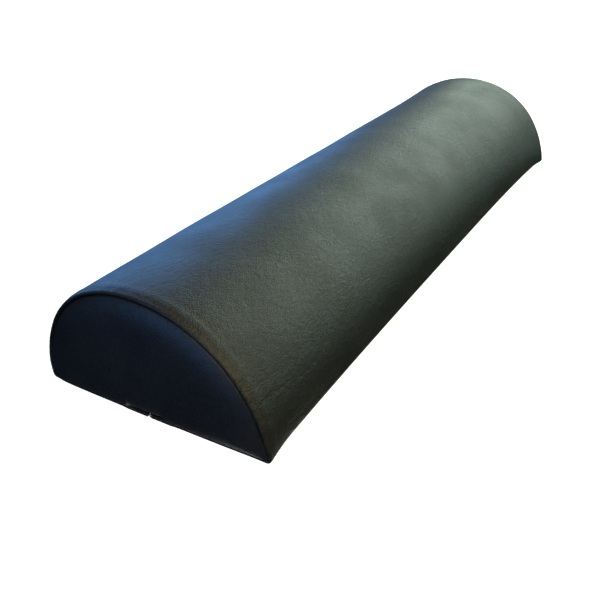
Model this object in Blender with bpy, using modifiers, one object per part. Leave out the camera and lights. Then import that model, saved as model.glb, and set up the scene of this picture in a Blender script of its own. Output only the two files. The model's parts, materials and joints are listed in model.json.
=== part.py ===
"""Half-round massage bolster: a foam core in a sewn leatherette cover that opens with a zip along its base.

Metres, +Z up. The origin is the middle of the footprint, on the surface that the bolster rests on.
+X runs along the bolster to the end where the zip closes, +Y across it. Sections are drawn in (Y, Z).
"""

import math

import bmesh
import bpy

# Cover, outside
COVER_LENGTH = 0.660
COVER_WIDTH = 0.211
COVER_HEIGHT = 0.104
BASE_CORNER_RADIUS = 0.007
LEATHERETTE = 0.0012  # thickness, knitted backing included
SEAM_ALLOWANCE = 0.010  # turned inwards all round each end panel
SEAM_BEND = 0.0025  # outer radius where an end panel turns inwards
SEAM_DEPTH = 0.0010  # from the end face in to the seam's thread
THREAD_DIAMETER = 0.0005
THREAD_CLEARANCE = 0.00015  # on each side of a thread

# Filling
WADDING_THICKNESS = 0.003  # as squeezed under the taut cover
FIT_GAP = 0.0003  # between pieces that touch
CORE_END_GAP = 0.0012  # foam to end panel
CORE_STEP_GAP = 0.0009  # foam to the seam allowance below it

# Zip, a size 5 nylon coil: flat heights are stacked upwards from the floor in zip_heights()
TAPE_WIDTH = 0.015
TAPE_THICKNESS = 0.0006
COIL_WIDTH = 0.0021  # one half of the closed chain
COIL_THICKNESS = 0.0020
COIL_ROUNDING = 0.0005
CHAIN_GAP = 0.0018  # between the halves, where the slider's neck runs
LIP_GAP = 0.014  # between the folded edges of the cover
HEM_WIDTH = 0.011
HEM_FOLD_GAP = 0.0003
VALLEY_FLAT = 0.002  # flat beyond the hem, before the cover slopes to the base
VALLEY_SLOPE = 0.008
STITCH_INSET = 0.0035  # from a folded edge to its row of stitches

# Slider and pull
FLOOR_CLEARANCE = 0.0005  # under the slider's bridge
SLIDER_LENGTH = 0.012
SLIDER_SHOULDER_WIDTH = 0.0104
SLIDER_TAIL_WIDTH = 0.0094
SLIDER_NOSE_WIDTH = 0.0066
SLIDER_PLATE = 0.00105
SLIDER_CLEARANCE = 0.00015  # to the coil and the tapes
SLIDER_END_STOP = 0.010  # from the slider's end to the seam allowance
NECK_LENGTH = 0.0024
NECK_WIDTH = 0.0012
BRIDGE_LENGTH = 0.0076
BRIDGE_WIDTH = 0.0020
BRIDGE_BAR = 0.0011
BRIDGE_LEG = 0.0012
BRIDGE_CORNER = 0.0008
PIN_DIAMETER = 0.0011
PIN_PLAY = 0.0002  # from the pin to the bridge, and from the swinging root of the pull to the slider
PULL_LENGTH = 0.030  # from the pin to the tip
PULL_WIDTH = 0.0076
PULL_ROOT_WIDTH = 0.0062
PULL_THICKNESS = 0.0012
PULL_SIDE_CLEARANCE = 0.0004
PULL_END_WALL = 0.0002  # beyond the pin
PULL_HOLE_WIDTH = 0.0032
PULL_HOLE_LENGTH = 0.0080
PULL_HOLE_FROM_TIP = 0.0030
METAL_EDGE = 0.0002  # bevel on the slider and the pull

ARC_STEPS = 44  # over the whole half-round
CORNER_STEPS = 5
SLOPE_STEPS = 6
FOLD_STEPS = 6
MERGE = 0.00001

MATERIALS = {
    "leatherette": ((0.020, 0.021, 0.023, 1), 0.42, 0.0),
    "foam": ((0.80, 0.74, 0.55, 1), 0.95, 0.0),
    "wadding": ((0.85, 0.85, 0.83, 1), 0.95, 0.0),
    "zip_tape": ((0.015, 0.015, 0.017, 1), 0.85, 0.0),
    "zip_coil": ((0.020, 0.020, 0.022, 1), 0.35, 0.0),
    "thread": ((0.012, 0.012, 0.014, 1), 0.60, 0.0),
    "slider_metal": ((0.08, 0.08, 0.085, 1), 0.35, 1.0),
}


def zip_heights():
    """Heights of the zip's layers above the floor, from the slider's bridge up."""
    bridge_low = FLOOR_CLEARANCE
    window_low = bridge_low + BRIDGE_BAR
    pin_axis = window_low + PIN_PLAY + PIN_DIAMETER / 2
    pull_swing = math.hypot(PIN_DIAMETER / 2 + PULL_END_WALL, PULL_THICKNESS / 2)
    outer_plate_low = pin_axis + pull_swing + PIN_PLAY
    coil_low = outer_plate_low + SLIDER_PLATE + SLIDER_CLEARANCE
    coil_high = coil_low + COIL_THICKNESS
    tape_low = coil_high + SLIDER_CLEARANCE
    tape_high = tape_low + TAPE_THICKNESS
    hem_high = tape_low - SLIDER_CLEARANCE
    return {
        "bridge_low": bridge_low,
        "window_low": window_low,
        "pin_axis": pin_axis,
        "outer_plate_low": outer_plate_low,
        "coil_low": coil_low,
        "coil_high": coil_high,
        "tape_low": tape_low,
        "tape_high": tape_high,
        "inner_plate_low": tape_high + SLIDER_CLEARANCE,
        "inner_plate_high": tape_high + SLIDER_CLEARANCE + SLIDER_PLATE,
        "hem_high": hem_high,
        "lip_low": hem_high - 2 * LEATHERETTE - HEM_FOLD_GAP,
    }


HEIGHT = zip_heights()
SEAM_GAP = THREAD_DIAMETER + 2 * THREAD_CLEARANCE
VALLEY_TOP = LIP_GAP / 2 + HEM_WIDTH + VALLEY_FLAT  # half-width where the slope begins
PANEL_SHIFT = LEATHERETTE + SEAM_GAP  # from there out to the end panel's slope
SLIDER_END_X = COVER_LENGTH / 2 - LEATHERETTE - SEAM_ALLOWANCE - SLIDER_END_STOP
SLIDER_REST_X = SLIDER_END_X - SLIDER_LENGTH / 2


# Scene, materials and collections


def clear_scene():
    for obj in list(bpy.data.objects):
        bpy.data.objects.remove(obj, do_unlink=True)


def new_collection(name):
    collection = bpy.data.collections.new(name)
    bpy.context.scene.collection.children.link(collection)
    return collection


def new_material(name):
    colour, roughness, metallic = MATERIALS[name]
    material = bpy.data.materials.new(name)
    material.use_nodes = True
    shader = material.node_tree.nodes["Principled BSDF"]
    shader.inputs["Base Color"].default_value = colour
    shader.inputs["Roughness"].default_value = roughness
    shader.inputs["Metallic"].default_value = metallic
    material.diffuse_color = colour
    return material


def place(obj, collection, material=None):
    """Puts a new object in its collection, out of the others, with its material."""
    for other in list(obj.users_collection):
        other.objects.unlink(obj)
    collection.objects.link(obj)
    if material:
        obj.data.materials.clear()
        obj.data.materials.append(bpy.data.materials[material])
    return obj


def helper(obj, cutters):
    """Keeps an object that only cuts or joins out of the model."""
    place(obj, cutters)
    obj.hide_render = True
    obj.display_type = "WIRE"
    return obj


# Outlines, as (y, z) points


def arc(centre, radii, start, end, steps):
    """Points on an ellipse, from the start angle to the end angle in degrees."""
    points = []
    for i in range(steps + 1):
        angle = math.radians(start + (end - start) * i / steps)
        points.append((centre[0] + radii[0] * math.cos(angle), centre[1] + radii[1] * math.sin(angle)))
    return points


def slope(y_low, z_low, y_high, z_high):
    """Points on a smooth rise, level at both ends."""
    points = []
    for i in range(SLOPE_STEPS + 1):
        share = i / SLOPE_STEPS
        rise = (1 - math.cos(math.pi * share)) / 2
        points.append((y_low + (y_high - y_low) * share, z_low + (z_high - z_low) * rise))
    return points


def half_round(inset, start=0, end=180, steps=ARC_STEPS):
    """The domed part of the section, this far inside the cover's outer surface."""
    radii = (COVER_WIDTH / 2 - inset, COVER_HEIGHT - BASE_CORNER_RADIUS - inset)
    return arc((0, BASE_CORNER_RADIUS), radii, start, end, steps)


def base_corner(side_inset, base_inset):
    """The rounded lower edge at +Y, from the base up to the dome."""
    centre = (COVER_WIDTH / 2 - BASE_CORNER_RADIUS, BASE_CORNER_RADIUS)
    radii = (BASE_CORNER_RADIUS - side_inset, BASE_CORNER_RADIUS - base_inset)
    return arc(centre, radii, -90, 0, CORNER_STEPS)


def inner_section(side_inset, base_inset, raised, shift):
    """A closed half-round section inside the cover, its base raised over the zip, this far outside the valley."""
    y_high = VALLEY_TOP + shift
    rise = slope(y_high + VALLEY_SLOPE, base_inset, y_high, raised)
    corner = base_corner(side_inset, base_inset)
    mirrored_corner = [(-y, z) for y, z in reversed(corner)]
    falling = list(reversed(rise))
    rising = [(-y, z) for y, z in rise]
    return rising + falling + corner + half_round(side_inset)[1:-1] + mirrored_corner


def cover_half_section():
    """The cover's outer surface at +Y, as an open line from the hem's raw edge to the crown."""
    fold_radius = (HEIGHT["hem_high"] - HEIGHT["lip_low"]) / 2
    fold_centre = (LIP_GAP / 2 + fold_radius, HEIGHT["lip_low"] + fold_radius)
    raw_edge = [(LIP_GAP / 2 + HEM_WIDTH, HEIGHT["hem_high"])]
    fold = arc(fold_centre, (fold_radius, fold_radius), 90, 270, FOLD_STEPS)
    fall = slope(VALLEY_TOP, HEIGHT["lip_low"], VALLEY_TOP + VALLEY_SLOPE, 0)
    dome = half_round(0, 0, 90, ARC_STEPS // 2)
    return raw_edge + fold + fall + base_corner(0, 0) + dome[1:]


# Ways of making a shape


def swept_half_sheet(name, section, length, thickness):
    """A sheet that follows a half section along X, mirrored to -Y and given its thickness inwards."""
    form = bmesh.new()
    rows = []
    for x in (-length / 2, length / 2):
        rows.append([form.verts.new((x, y, z)) for y, z in section])
    for i in range(len(section) - 1):
        form.faces.new((rows[0][i], rows[0][i + 1], rows[1][i + 1], rows[1][i]))
    mesh = bpy.data.meshes.new(name)
    form.to_mesh(mesh)
    form.free()
    obj = bpy.data.objects.new(name, mesh)
    mirror = obj.modifiers.new("mirror", "MIRROR")
    mirror.use_axis = (False, True, False)
    mirror.merge_threshold = MERGE
    add_thickness(obj, thickness)
    return obj


def add_thickness(obj, thickness):
    shell = obj.modifiers.new("thickness", "SOLIDIFY")
    shell.thickness = thickness
    shell.offset = -1
    shell.use_even_offset = True


def outline_curve(name, outlines, thickness):
    """A flat curve with holes, filled and extruded to a thickness along its own Z."""
    curve = bpy.data.curves.new(name, "CURVE")
    curve.dimensions = "2D"
    curve.fill_mode = "BOTH"
    curve.extrude = thickness / 2
    for points in outlines:
        spline = curve.splines.new("POLY")
        spline.points.add(len(points) - 1)
        for point, (u, v) in zip(spline.points, points):
            point.co = (u, v, 0, 1)
        spline.use_cyclic_u = True
    return bpy.data.objects.new(name, curve)


def as_mesh(obj, collection):
    """Replaces a curve object by the mesh it makes, with its caps welded on."""
    place(obj, collection)
    bpy.context.view_layer.update()
    graph = bpy.context.evaluated_depsgraph_get()
    mesh = bpy.data.meshes.new_from_object(obj.evaluated_get(graph))
    form = bmesh.new()
    form.from_mesh(mesh)
    bmesh.ops.remove_doubles(form, verts=form.verts, dist=MERGE)
    form.to_mesh(mesh)
    form.free()
    made = bpy.data.objects.new(obj.name, mesh)
    made.matrix_world = obj.matrix_world
    name = obj.name
    bpy.data.objects.remove(obj, do_unlink=True)
    made.name = name
    return place(made, collection)


def box(name, x_range, y_range, z_range):
    """A box between two values on each axis, its scale applied."""
    bpy.ops.mesh.primitive_cube_add(size=1)
    obj = bpy.context.object
    obj.name = name
    spans = (x_range, y_range, z_range)
    obj.location = [(low + high) / 2 for low, high in spans]
    obj.scale = [high - low for low, high in spans]
    bpy.ops.object.transform_apply(location=False, rotation=False, scale=True)
    return obj


def boolean(obj, operation, other):
    modifier = obj.modifiers.new(other.name, "BOOLEAN")
    modifier.operation = operation
    modifier.object = other
    return modifier


def add_bevel(obj, width, segments=1, angle=30):
    bevel = obj.modifiers.new("bevel", "BEVEL")
    bevel.width = width
    bevel.segments = segments
    bevel.limit_method = "ANGLE"
    bevel.angle_limit = math.radians(angle)
    return bevel


def along_x(obj, x=0.0):
    """Turns an outline drawn in (Y, Z) and extruded along its own Z to lie along X."""
    obj.rotation_euler = (math.radians(90), 0, math.radians(90))
    obj.location.x = x
    return obj


def round_bar(name, length, diameter, sides=10):
    """A round bar along X."""
    bpy.ops.mesh.primitive_cylinder_add(vertices=sides, radius=diameter / 2, depth=length)
    obj = bpy.context.object
    obj.name = name
    obj.rotation_euler.y = math.radians(90)
    return obj


# Cover


def make_cover_body(parts):
    """One sheet of leatherette over the dome, round both base edges and up to a hem on each side of the zip."""
    obj = swept_half_sheet("cover_body", cover_half_section(), COVER_LENGTH, LEATHERETTE)
    place(obj, parts, "leatherette")
    obj.data.shade_smooth()


def make_end_panel(name, side, parts):
    """A half-round panel whose edge turns inwards along the cover as a seam allowance."""
    inset = LEATHERETTE + SEAM_GAP
    outline = inner_section(inset, inset, HEIGHT["tape_high"] + SEAM_GAP, PANEL_SHIFT)
    if side < 0:
        outline.reverse()
    form = bmesh.new()
    end_x = side * COVER_LENGTH / 2
    panel = form.faces.new([form.verts.new((end_x, y, z)) for y, z in outline])
    turned = bmesh.ops.extrude_edge_only(form, edges=list(panel.edges))
    moved = [v for v in turned["geom"] if isinstance(v, bmesh.types.BMVert)]
    bmesh.ops.translate(form, verts=moved, vec=(-side * (LEATHERETTE + SEAM_ALLOWANCE), 0, 0))
    bmesh.ops.recalc_face_normals(form, faces=form.faces)
    mesh = bpy.data.meshes.new(name)
    form.to_mesh(mesh)
    form.free()
    if mesh.polygons[0].normal.x * side < 0:
        mesh.flip_normals()
    obj = place(bpy.data.objects.new(name, mesh), parts, "leatherette")
    add_bevel(obj, SEAM_BEND, segments=3, angle=60)
    add_thickness(obj, LEATHERETTE)


def make_end_seam_thread(name, side, parts):
    """The thread that joins an end panel to the body, all round the end."""
    inset = LEATHERETTE + SEAM_GAP / 2
    raised = HEIGHT["tape_high"] + SEAM_GAP / 2
    outline = inner_section(inset, inset, raised, PANEL_SHIFT - SEAM_GAP / 2)
    curve = bpy.data.curves.new(name, "CURVE")
    curve.dimensions = "3D"
    curve.bevel_depth = THREAD_DIAMETER / 2
    curve.bevel_resolution = 1
    spline = curve.splines.new("POLY")
    spline.points.add(len(outline) - 1)
    seam_x = side * (COVER_LENGTH / 2 - SEAM_DEPTH)
    for point, (y, z) in zip(spline.points, outline):
        point.co = (seam_x, y, z, 1)
    spline.use_cyclic_u = True
    place(bpy.data.objects.new(name, curve), parts, "thread")


# Filling


def make_foam_core(parts, cutters):
    """The half-round foam block, relieved over the zip and at each end over the seam allowance."""
    side_inset = LEATHERETTE + 2 * FIT_GAP + WADDING_THICKNESS
    base_inset = LEATHERETTE + FIT_GAP
    allowance_top = HEIGHT["tape_high"] + SEAM_GAP + LEATHERETTE
    relief = max(HEIGHT["inner_plate_high"], allowance_top) + FIT_GAP
    length = COVER_LENGTH - 2 * (LEATHERETTE + CORE_END_GAP)
    shift = PANEL_SHIFT + 2 * LEATHERETTE + FIT_GAP
    outline = inner_section(side_inset, base_inset, relief, shift)
    core = as_mesh(along_x(outline_curve("foam_core", [outline], length)), parts)
    place(core, parts, "foam")
    step_top = 2 * LEATHERETTE + SEAM_GAP + CORE_STEP_GAP
    step_start = COVER_LENGTH / 2 - LEATHERETTE - SEAM_ALLOWANCE - FIT_GAP
    half_width = COVER_WIDTH / 2
    for side, name in ((-1, "front_step"), (1, "rear_step")):
        ends = sorted((side * step_start, side * COVER_LENGTH / 2))
        step = helper(box(name, ends, (-half_width, half_width), (-step_top, step_top)), cutters)
        boolean(core, "DIFFERENCE", step)


def make_core_wadding(parts):
    """Polyester wadding over the dome, between the foam and the cover."""
    dome = half_round(LEATHERETTE + FIT_GAP, 0, 90, ARC_STEPS // 2)
    length = COVER_LENGTH - 2 * (LEATHERETTE + SEAM_ALLOWANCE + CORE_END_GAP)
    obj = swept_half_sheet("core_wadding", dome, length, WADDING_THICKNESS)
    place(obj, parts, "wadding")
    obj.data.shade_smooth()


# Zip


def make_zip_half(side, suffix, parts):
    """One tape with its half of the coil, and the row of stitches that holds it under the hem."""
    half_length = COVER_LENGTH / 2
    inner = CHAIN_GAP / 2

    def across(start, end):
        return sorted((side * start, side * end))

    tape = box(
        "zip_tape_" + suffix,
        (-half_length, half_length),
        across(inner, inner + TAPE_WIDTH),
        (HEIGHT["tape_low"], HEIGHT["tape_high"]),
    )
    place(tape, parts, "zip_tape")
    coil = box(
        "zip_coil_" + suffix,
        (-half_length, half_length),
        across(inner, inner + COIL_WIDTH),
        (HEIGHT["coil_low"], HEIGHT["coil_high"]),
    )
    add_bevel(coil, COIL_ROUNDING, segments=2)
    place(coil, parts, "zip_coil")
    stitches = round_bar("zip_stitching_" + suffix, COVER_LENGTH, THREAD_DIAMETER)
    stitches.location.y = side * (LIP_GAP / 2 + STITCH_INSET)
    stitches.location.z = HEIGHT["lip_low"] - THREAD_CLEARANCE - THREAD_DIAMETER / 2
    place(stitches, parts, "thread")


def slider_outline():
    """Plan of a slider plate, its nose at +X: tail, shoulders and a tapered nose."""
    tail, nose = -SLIDER_LENGTH / 2, SLIDER_LENGTH / 2
    shoulder = SLIDER_LENGTH / 6
    half = [
        (tail, SLIDER_TAIL_WIDTH / 2),
        (shoulder, SLIDER_SHOULDER_WIDTH / 2),
        (nose, SLIDER_NOSE_WIDTH / 2),
    ]
    return [(x, -y) for x, y in half] + list(reversed(half))


def plate_between(name, z_low, z_high, cutters):
    plate = outline_curve(name, [slider_outline()], z_high - z_low)
    plate.location = (SLIDER_REST_X, 0, (z_low + z_high) / 2)
    return as_mesh(plate, cutters)


def make_slider_bridge(cutters):
    """The loop under the outer plate that the pull hangs on, drawn in (X, -Z) from the pin's axis."""
    half, corner = BRIDGE_LENGTH / 2, BRIDGE_CORNER
    low = HEIGHT["pin_axis"] - HEIGHT["bridge_low"]
    window_low = HEIGHT["pin_axis"] - HEIGHT["window_low"]
    root = HEIGHT["outer_plate_low"] + SLIDER_PLATE / 2 - HEIGHT["pin_axis"]
    plate_face = HEIGHT["outer_plate_low"] - HEIGHT["pin_axis"]
    window = half - BRIDGE_LEG
    outer = [(half, -root)]
    outer += arc((half - corner, low - corner), (corner, corner), 0, 90, CORNER_STEPS)
    outer += arc((corner - half, low - corner), (corner, corner), 90, 180, CORNER_STEPS)
    outer += [(-half, -root)]
    inner = [(-window, -plate_face), (-window, window_low), (window, window_low), (window, -plate_face)]
    bridge = outline_curve("slider_bridge", [outer, inner], BRIDGE_WIDTH)
    bridge.rotation_euler.x = math.radians(-90)
    bridge.location = (SLIDER_REST_X, 0, HEIGHT["pin_axis"])
    return helper(as_mesh(bridge, cutters), cutters)


def make_zip_slider(parts, cutters):
    """Two plates joined by the neck at the nose, with a flange down each side and a bridge for the pull."""
    outer_high = HEIGHT["outer_plate_low"] + SLIDER_PLATE
    slider = plate_between("zip_slider", HEIGHT["outer_plate_low"], outer_high, parts)
    place(slider, parts, "slider_metal")
    inner_plate = plate_between("inner_plate", HEIGHT["inner_plate_low"], HEIGHT["inner_plate_high"], cutters)
    joined = [helper(inner_plate, cutters), make_slider_bridge(cutters)]
    nose_x = SLIDER_REST_X + SLIDER_LENGTH / 2
    bite = SLIDER_PLATE / 2
    neck_x = (nose_x - NECK_LENGTH, nose_x - METAL_EDGE)
    neck_z = (outer_high - bite, HEIGHT["inner_plate_low"] + bite)
    joined.append(box("slider_neck", neck_x, (-NECK_WIDTH / 2, NECK_WIDTH / 2), neck_z))
    tail_x = SLIDER_REST_X - SLIDER_LENGTH / 2
    flange_x = (tail_x + METAL_EDGE, SLIDER_REST_X + SLIDER_LENGTH / 6)
    flange_z = (outer_high - bite, HEIGHT["tape_low"] - SLIDER_CLEARANCE)
    channel = CHAIN_GAP / 2 + COIL_WIDTH + SLIDER_CLEARANCE
    for side, name in ((-1, "flange_right"), (1, "flange_left")):
        flange_y = sorted((side * channel, side * (SLIDER_TAIL_WIDTH / 2 - METAL_EDGE)))
        joined.append(box(name, flange_x, flange_y, flange_z))
    for piece in joined:
        boolean(slider, "UNION", helper(piece, cutters))
    add_bevel(slider, METAL_EDGE, angle=50)


def make_zip_pull(parts, cutters):
    """A flat tab, forked at its root round the bridge, with the pin across the fork. Its origin is the pin's axis."""
    pin_r = PIN_DIAMETER / 2
    fork = BRIDGE_WIDTH / 2 + PULL_SIDE_CLEARANCE
    bridge_low = HEIGHT["pin_axis"] - HEIGHT["bridge_low"]
    fork_depth = math.hypot(BRIDGE_LENGTH / 2, bridge_low) + PULL_SIDE_CLEARANCE
    tip_radius = PULL_WIDTH / 2
    tip = arc((tip_radius - PULL_LENGTH, 0), (tip_radius, tip_radius), 90, 270, 2 * CORNER_STEPS)
    root = PULL_ROOT_WIDTH / 2
    end = pin_r + PULL_END_WALL
    outline = [(end, root), *tip, (end, -root), (end, -fork), (-fork_depth, -fork)]
    outline += [(-fork_depth, fork), (end, fork)]
    hole_r = PULL_HOLE_WIDTH / 2
    hole_tip = PULL_HOLE_FROM_TIP + hole_r - PULL_LENGTH
    hole_root = hole_tip + PULL_HOLE_LENGTH - PULL_HOLE_WIDTH
    hole = arc((hole_root, 0), (hole_r, hole_r), -90, 90, CORNER_STEPS)
    hole += arc((hole_tip, 0), (hole_r, hole_r), 90, 270, CORNER_STEPS)
    pull = outline_curve("zip_pull", [outline, hole], PULL_THICKNESS)
    pull.location = (SLIDER_REST_X, 0, HEIGHT["pin_axis"])
    pull = as_mesh(pull, parts)
    place(pull, parts, "slider_metal")
    bpy.ops.mesh.primitive_cylinder_add(vertices=16, radius=pin_r, depth=root + fork)
    pin = bpy.context.object
    pin.name = "pull_pin"
    pin.rotation_euler.x = math.radians(90)
    pin.location = pull.location
    add_bevel(pull, METAL_EDGE, angle=50)
    boolean(pull, "UNION", helper(pin, cutters))


def main():
    clear_scene()
    parts = new_collection("half_round_bolster")
    cutters = new_collection("cutters")
    for name in MATERIALS:
        new_material(name)
    make_foam_core(parts, cutters)
    make_core_wadding(parts)
    make_cover_body(parts)
    for side, place_name in ((-1, "front"), (1, "rear")):
        make_end_panel("end_panel_" + place_name, side, parts)
        make_end_seam_thread("end_seam_thread_" + place_name, side, parts)
    for side, suffix in ((-1, "right"), (1, "left")):
        make_zip_half(side, suffix, parts)
    make_zip_slider(parts, cutters)
    make_zip_pull(parts, cutters)


main()
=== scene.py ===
import json
import math

import bpy
import numpy as np
from mathutils import Matrix, Vector

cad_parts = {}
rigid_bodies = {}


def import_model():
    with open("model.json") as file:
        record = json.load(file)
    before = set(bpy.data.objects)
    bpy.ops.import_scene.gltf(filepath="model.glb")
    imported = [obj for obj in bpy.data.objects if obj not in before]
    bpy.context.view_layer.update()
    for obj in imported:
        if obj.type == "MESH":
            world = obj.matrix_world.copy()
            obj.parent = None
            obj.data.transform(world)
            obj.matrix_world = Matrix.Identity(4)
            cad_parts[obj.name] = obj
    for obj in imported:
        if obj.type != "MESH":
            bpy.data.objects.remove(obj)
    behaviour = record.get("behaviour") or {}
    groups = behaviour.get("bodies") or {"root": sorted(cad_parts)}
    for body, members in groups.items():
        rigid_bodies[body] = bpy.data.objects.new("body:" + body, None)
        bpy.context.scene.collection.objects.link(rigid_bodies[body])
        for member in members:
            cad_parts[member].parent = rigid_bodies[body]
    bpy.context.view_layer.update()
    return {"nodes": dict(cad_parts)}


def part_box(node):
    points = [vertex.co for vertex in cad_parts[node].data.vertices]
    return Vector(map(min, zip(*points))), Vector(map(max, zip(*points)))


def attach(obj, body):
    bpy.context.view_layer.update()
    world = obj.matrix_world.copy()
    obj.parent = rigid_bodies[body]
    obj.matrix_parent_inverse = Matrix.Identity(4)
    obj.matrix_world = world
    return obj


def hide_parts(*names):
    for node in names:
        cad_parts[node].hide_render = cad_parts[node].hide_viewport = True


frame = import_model()

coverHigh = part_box("cover_body")[1]
halfLength = coverHigh.x
halfWidth = coverHigh.y
coverHeight = coverHigh.z


# Small helpers

def smoothStep(value, low, high):
    t = np.clip((np.asarray(value, float) - low) / (high - low), 0, 1)
    return t * t * (3 - 2 * t)


def hexColour(code):
    code = code.lstrip("#")
    channels = [int(code[i:i + 2], 16) / 255 for i in (0, 2, 4)]
    linear = [c / 12.92 if c <= 0.04045 else ((c + 0.055) / 1.055) ** 2.4 for c in channels]
    return (*linear, 1)


def addNode(tree, kind, inputs=None, **settings):
    # An input takes a value, a socket, or a node, which stands for its first output
    node = tree.nodes.new(kind)
    for key, value in settings.items():
        setattr(node, key, value)
    for key, value in (inputs or {}).items():
        source = value.outputs[0] if isinstance(value, bpy.types.Node) else value
        if isinstance(source, bpy.types.NodeSocket):
            tree.links.new(source, node.inputs[key])
        else:
            node.inputs[key].default_value = value
    return node


def newMaterial(name):
    material = bpy.data.materials.new(name)
    material.use_nodes = True
    tree = material.node_tree
    return material, tree, tree.nodes["Principled BSDF"]


def placeObject(name, data):
    thing = bpy.data.objects.new(name, data)
    bpy.context.scene.collection.objects.link(thing)
    return thing


def newObject(name, vertices, faces, material, smooth=True):
    mesh = bpy.data.meshes.new(name)
    mesh.from_pydata([tuple(v) for v in vertices], [], [tuple(f) for f in faces])
    mesh.update()
    mesh.materials.append(material)
    if smooth:
        mesh.shade_smooth()
    return placeObject(name, mesh)


def gridFaces(rows, columns, closed=False, offset=0, flip=False):
    faces = []
    wide = columns if closed else columns - 1
    for i in range(rows - 1):
        for j in range(wide):
            k = (j + 1) % columns
            quad = (i * columns + j, i * columns + k, (i + 1) * columns + k, (i + 1) * columns + j)
            quad = quad[::-1] if flip else quad
            faces.append(tuple(offset + q for q in quad))
    return faces


def poleFaces(ring, pole, side):
    # Closes a ring with triangles to one point, facing the bolster's end on that side
    faces = []
    for first, second in zip(ring, ring[1:] + ring[:1]):
        faces.append((first, second, pole) if side > 0 else (second, first, pole))
    return faces


# Materials

def bandScale(spacing, radians=20):
    # At scale 1 the wave texture turns by 20 radians in a metre along an axis, or by 10 on the diagonal
    return 2 * math.pi / (radians * spacing)


def finishSurface(tree, shader, look, pattern, height=None):
    # Tints a surface between its two colours by a pattern, and raises it by the same pattern or another
    tint = addNode(tree, "ShaderNodeMix", {
        "A": hexColour(look["dark"]), "B": hexColour(look["light"]), "Factor": pattern,
    }, data_type="RGBA")
    tree.links.new(tint.outputs["Result"], shader.inputs["Base Color"])
    if "bumpDepth" in look:
        raised = pattern if height is None else height
        bump = addNode(tree, "ShaderNodeBump", {
            "Strength": 1.0, "Distance": look["bumpDepth"], "Height": raised,
        })
        tree.links.new(bump.outputs["Normal"], shader.inputs["Normal"])
    if "roughness" in look:
        shader.inputs["Roughness"].default_value = look["roughness"]


leatherette = {
    "colour": "#1b1c1d",
    "paintedHollowShade": 0.80,     # brightness of the grain's hollows, as painted shade that darkens the colour there
    "roughness": 0.47,
    "roughnessSpread": 0.07,
    "glossPatches": 22.0,    # per metre
    "grainWidth": 0.0017,    # across one cell of the embossed grain, drawn coarse enough to show
    "grainDepth": 0.00012,
    "wrinkleWidth": 0.0062,
    "wrinkleDepth": 0.00020,
    "creaseWidth": 0.030,
    "creaseDepth": 0.00010,
    "creasePatches": 14.0,   # per metre
}
smootherEnds = {"wrinkleDepth": 0.00006}


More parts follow.
